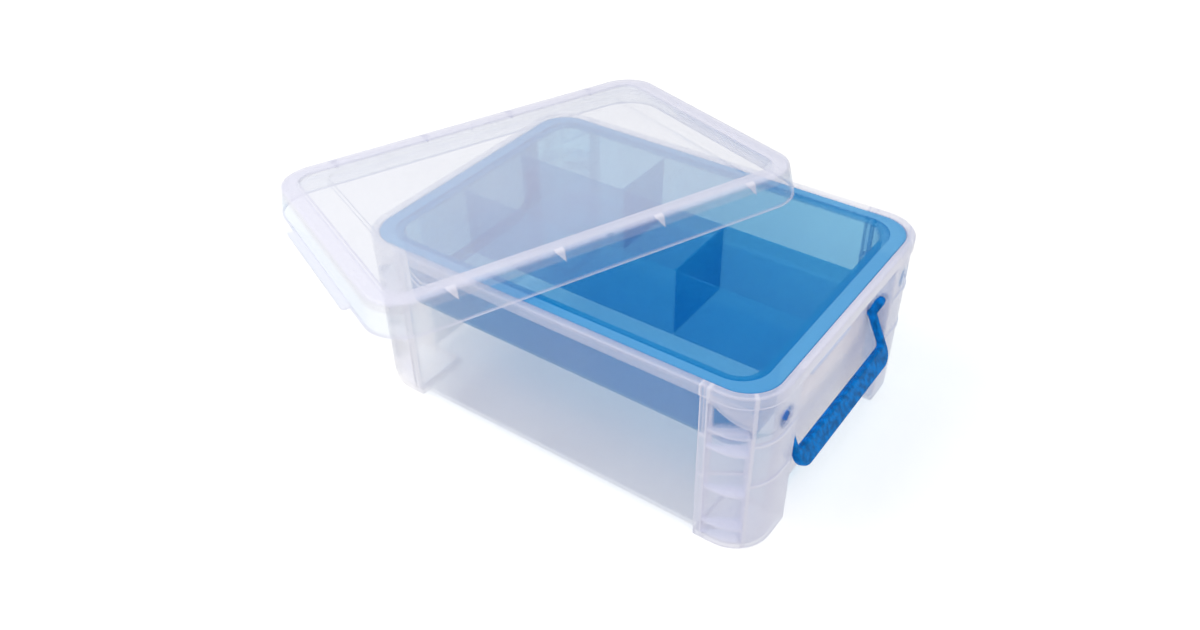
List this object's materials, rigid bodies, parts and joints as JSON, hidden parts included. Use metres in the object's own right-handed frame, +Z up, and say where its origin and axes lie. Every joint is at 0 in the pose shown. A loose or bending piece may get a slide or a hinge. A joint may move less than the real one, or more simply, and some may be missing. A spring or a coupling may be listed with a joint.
{
  "type": "divided storage box with lift-out tray",
  "caption": "Clear lidded storage tub with a lift-out blue divider tray, a loose lid lying across the rim and hinged blue carrying handles on its short ends.",
  "frame": {"origin": "middle of the tub on the plane its four corner feet stand on", "axes": "+X along the tub towards its right end, +Y across the tub away from the near long side, +Z up"},
  "size_m": [0.4761, 0.4178, 0.1731],
  "materials": {
    "clear_plastic": "clear, slightly milky moulded polypropylene",
    "tray_blue": "translucent blue moulded polypropylene",
    "handle_blue": "solid blue, lightly textured"
  },
  "bodies": {
    "tub": {"tub": "clear_plastic"},
    "tray": {"divider_tray": "tray_blue"},
    "lid": {"lid": "clear_plastic"},
    "handle_left": {"handle_left": "handle_blue"},
    "handle_right": {"handle_right": "handle_blue"}
  },
  "joints": [
    {"name": "handle_right_swing", "type": "hinge", "parent": "tub", "child": "handle_right", "pos_m": [0.171, 0, 0.101], "axis": [0, -1, 0], "range_deg": [0, 148]},
    {"name": "handle_left_swing", "type": "hinge", "parent": "tub", "child": "handle_left", "pos_m": [-0.171, 0, 0.101], "axis": [0, 1, 0], "range_deg": [0, 96]},
    {"name": "tray_lift", "type": "slide", "parent": "tub", "child": "tray", "axis": [0, 0, 1], "range_m": [0, 0.1]},
    {"name": "lid_lift", "type": "slide", "parent": "tray", "child": "lid", "axis": [0, 0, 1], "range_m": [0, 0.1]}
  ]
}
